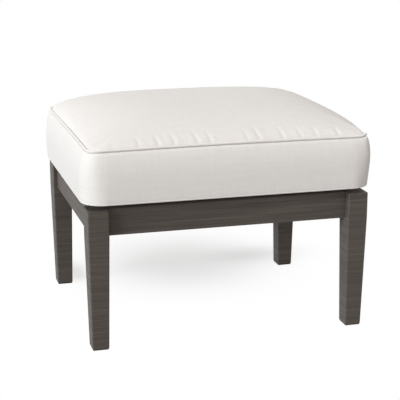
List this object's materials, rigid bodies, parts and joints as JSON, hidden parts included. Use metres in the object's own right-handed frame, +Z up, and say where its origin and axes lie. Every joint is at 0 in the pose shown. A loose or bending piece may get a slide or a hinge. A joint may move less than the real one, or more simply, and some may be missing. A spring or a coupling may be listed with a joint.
{
  "type": "outdoor ottoman footstool",
  "caption": "Low rectangular footstool: four tapered legs joined by set-back rails, a woven webbing deck, and a loose boxed cushion with piped seams and a back zip.",
  "frame": {"origin": "on the floor, under the middle of the footstool", "axes": "+X along the width towards the right leg seen from the front, +Y towards the back where the zip is, +Z up"},
  "size_m": [0.6338, 0.529, 0.4776],
  "materials": {
    "frame_finish": "satin",
    "ledger_finish": "satin",
    "glide_nylon": "matte",
    "screw_steel": "satin",
    "webbing": "matte",
    "foam": "matte",
    "fibre": "matte",
    "cover_fabric": "matte",
    "zip_tape": "matte",
    "zip_metal": "satin"
  },
  "bodies": {
    "frame": {"leg_front_left": "frame_finish", "leg_front_right": "frame_finish", "leg_back_left": "frame_finish", "leg_back_right": "frame_finish", "rail_front": "frame_finish", "rail_back": "frame_finish", "rail_left": "frame_finish", "rail_right": "frame_finish", "glide_front_left": "glide_nylon", "glide_front_right": "glide_nylon", "glide_back_left": "glide_nylon", "glide_back_right": "glide_nylon", "ledger_front": "ledger_finish", "ledger_back": "ledger_finish", "ledger_left": "ledger_finish", "ledger_right": "ledger_finish", "clamp_bar_front": "ledger_finish", "clamp_bar_back": "ledger_finish", "clamp_bar_left": "ledger_finish", "clamp_bar_right": "ledger_finish", "clamp_screw_front_1": "screw_steel", "clamp_screw_front_2": "screw_steel", "clamp_screw_front_3": "screw_steel", "clamp_screw_front_4": "screw_steel", "clamp_screw_back_1": "screw_steel", "clamp_screw_back_2": "screw_steel", "clamp_screw_back_3": "screw_steel", "clamp_screw_back_4": "screw_steel", "clamp_screw_left_1": "screw_steel", "clamp_screw_left_2": "screw_steel", "clamp_screw_left_3": "screw_steel", "clamp_screw_right_1": "screw_steel", "clamp_screw_right_2": "screw_steel", "clamp_screw_right_3": "screw_steel", "strap_depth_1": "webbing", "strap_depth_2": "webbing", "strap_depth_3": "webbing", "strap_depth_4": "webbing", "strap_depth_5": "webbing", "strap_width_1": "webbing", "strap_width_2": "webbing", "strap_width_3": "webbing", "strap_width_4": "webbing"},
    "cushion": {"foam_core": "foam", "crown_pad": "fibre", "cover_top_panel": "cover_fabric", "cover_boxing": "cover_fabric", "cover_bottom_panel": "cover_fabric", "piping_top": "cover_fabric", "piping_bottom": "cover_fabric", "zip_placket_upper": "cover_fabric", "zip_placket_lower": "cover_fabric", "zip_tape": "zip_tape"},
    "slider": {"zip_slider": "zip_metal"},
    "pull": {"zip_pull": "zip_metal"}
  },
  "joints": [
    {"name": "cushion_lift", "type": "slide", "parent": "frame", "child": "cushion", "axis": [0, 0, 1], "range_m": [0, 0.2]},
    {"name": "zip_run", "type": "slide", "parent": "cushion", "child": "slider", "axis": [1, 0, 0], "range_m": [-0.368, 0]},
    {"name": "pull_swing", "type": "hinge", "parent": "slider", "child": "pull", "pos_m": [0.184, 0.25975, 0.3715], "axis": [0, 0, -1], "range_deg": [0, 170]}
  ]
}
